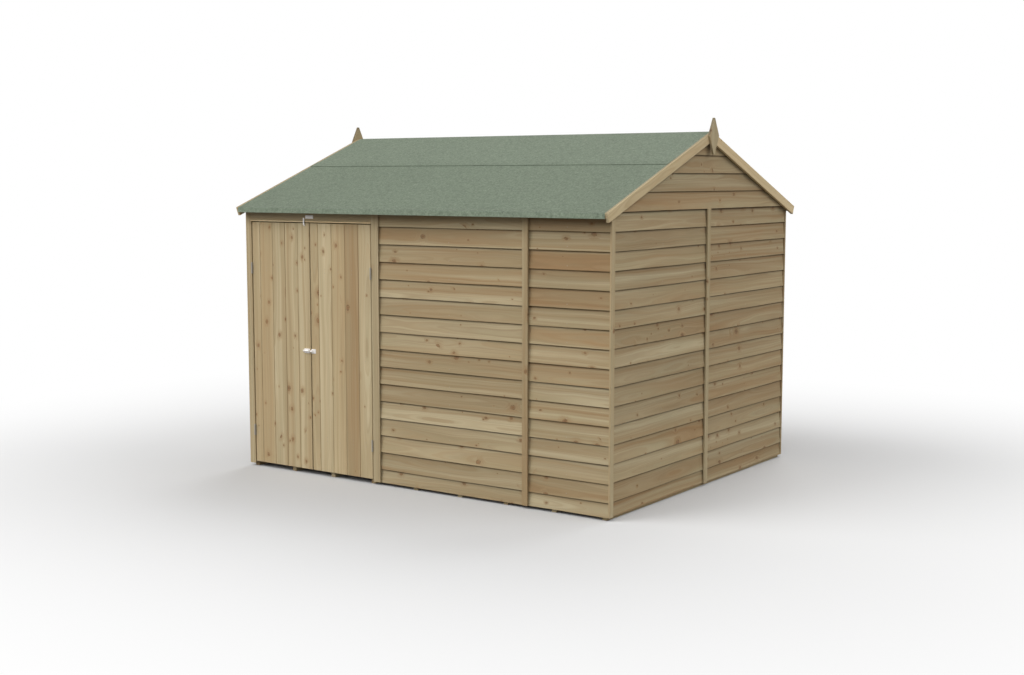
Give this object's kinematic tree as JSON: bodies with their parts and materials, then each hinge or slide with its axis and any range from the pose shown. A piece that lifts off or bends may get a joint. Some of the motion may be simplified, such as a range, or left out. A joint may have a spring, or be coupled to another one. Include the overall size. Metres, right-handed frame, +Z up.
{
  "type": "wooden garden shed",
  "caption": "Timber garden shed with overlapped board walls, green felted apex roof, barge boards, diamond finials and a pair of boarded doors that swing outwards.",
  "frame": {"origin": "centre of the footprint on the ground", "axes": "+X along the ridge towards the right gable, -Y out through the doors, +Z up"},
  "size_m": [3.032, 2.5908, 2.408],
  "materials": {
    "bearers": "sawn softwood, treated",
    "deck": "planed softwood boards",
    "framing": "planed softwood",
    "boarding": "sawn overlapped softwood boards, treated",
    "trim": "planed softwood, treated",
    "roof_sheet": "strand board",
    "felt": "green mineral roofing felt",
    "zinc": "zinc plated steel",
    "door_boards": "tongued and grooved softwood boards",
    "door_framing": "planed softwood"
  },
  "bodies": {
    "shed": {"floor_bearers": "bearers", "floor_deck": "deck", "long_wall_studs": "framing", "side_wall_studs": "framing", "long_wall_plates": "framing", "side_wall_plates": "framing", "front_rafters": "framing", "rear_rafters": "framing", "eaves_battens": "framing", "front_panel_wide": "boarding", "front_panel_narrow": "boarding", "right_panel_front": "boarding", "right_panel_rear": "boarding", "right_gable": "boarding", "left_panel_front": "boarding", "left_panel_rear": "boarding", "left_gable": "boarding", "rear_panel_left": "boarding", "rear_panel_middle": "boarding", "rear_panel_right": "boarding", "corner_strips": "trim", "cover_strips": "trim", "door_facings": "trim", "door_head": "trim", "front_barge_boards": "trim", "rear_barge_boards": "trim", "finials": "trim", "front_roof_sheet": "roof_sheet", "rear_roof_sheet": "roof_sheet", "front_felt": "felt", "rear_felt": "felt", "ridge_felt": "felt", "frame_hinge_leaves": "zinc", "head_catch_plate": "zinc"},
    "left_door": {"left_door_boards": "door_boards", "left_door_ledges": "door_framing", "left_door_braces": "door_framing", "left_door_hinge_leaves": "zinc", "bolt_plate": "zinc", "top_catch": "zinc"},
    "right_door": {"right_door_boards": "door_boards", "right_door_ledges": "door_framing", "right_door_braces": "door_framing", "right_door_hinge_leaves": "zinc", "bolt_keep": "zinc"},
    "pad_bolt": {"pad_bolt": "zinc"}
  },
  "joints": [
    {"name": "left_door_hinge", "type": "hinge", "parent": "shed", "child": "left_door", "pos_m": [-1.4285, -1.2275, 0.831], "axis": [0, 0, -1], "range_deg": [0, 165]},
    {"name": "right_door_hinge", "type": "hinge", "parent": "shed", "child": "right_door", "pos_m": [-0.3435, -1.2275, 0.831], "axis": [0, 0, 1], "range_deg": [0, 165]},
    {"name": "pad_bolt_slide", "type": "slide", "parent": "left_door", "child": "pad_bolt", "axis": [1, 0, 0], "range_m": [0, 0.028]}
  ]
}
